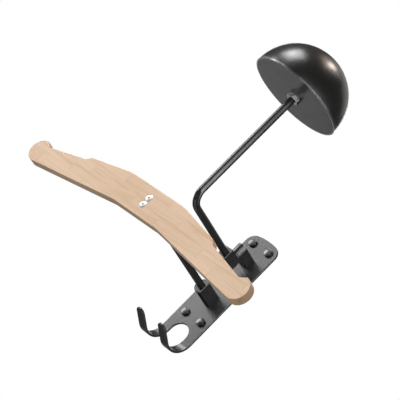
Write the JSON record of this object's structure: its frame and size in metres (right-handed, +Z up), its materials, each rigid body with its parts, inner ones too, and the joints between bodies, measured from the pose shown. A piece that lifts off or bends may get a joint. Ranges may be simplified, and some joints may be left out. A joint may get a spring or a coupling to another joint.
{
  "type": "wall rack",
  "caption": "Wall rack for riding gear: bent steel plate with upturned prongs, wooden hanger board on a fixed rod, and a helmet dome on a bent rod that swings on an upright pivot.",
  "frame": {"origin": "centre of the four wall screws, on the plate's back face, which lies on the wall", "axes": "+X to the right seen from the room, +Y into the wall, +Z up"},
  "size_m": [0.4314, 0.2365, 0.3984],
  "materials": {
    "plate_steel": "satin grey powder coat",
    "sleeve_steel": "satin dark grey coat",
    "rod_steel": "smooth satin black coat",
    "cap_metal": "satin grey coat",
    "board_wood": "pale oiled hardwood",
    "bright_steel": "polished",
    "zinc_steel": "zinc plated",
    "black_steel": "black oxide",
    "nylon": "natural nylon",
    "base_plastic": "fine matt grain",
    "insert_brass": "turned",
    "dome_metal": "satin metallic grey"
  },
  "bodies": {
    "wall_frame": {"wall_plate": "plate_steel", "wall_screws": "zinc_steel", "screw_caps": "cap_metal", "base_screws": "black_steel", "base_pins": "black_steel", "hanger_sleeve": "sleeve_steel", "hanger_grub_screw": "black_steel", "hanger_rod": "rod_steel", "hanger_boss": "sleeve_steel", "hanger_board": "board_wood", "hanger_screws": "bright_steel", "pivot_lug": "sleeve_steel", "pivot_bolt": "black_steel", "friction_washer": "nylon", "lower_washer": "zinc_steel", "pivot_nut": "zinc_steel"},
    "helmet_arm": {"helmet_sleeve": "sleeve_steel", "pivot_bush": "nylon", "helmet_grub_screw": "black_steel", "helmet_rod": "rod_steel", "dome_lock_nut": "rod_steel", "dome_base": "base_plastic", "dome_insert": "insert_brass", "dome_shell": "dome_metal"}
  },
  "joints": [
    {"name": "helmet_arm_swivel", "type": "hinge", "parent": "wall_frame", "child": "helmet_arm", "pos_m": [0, -0.0293, 0.0197], "axis": [0, 0, 1], "range_deg": [-60, 60]}
  ]
}
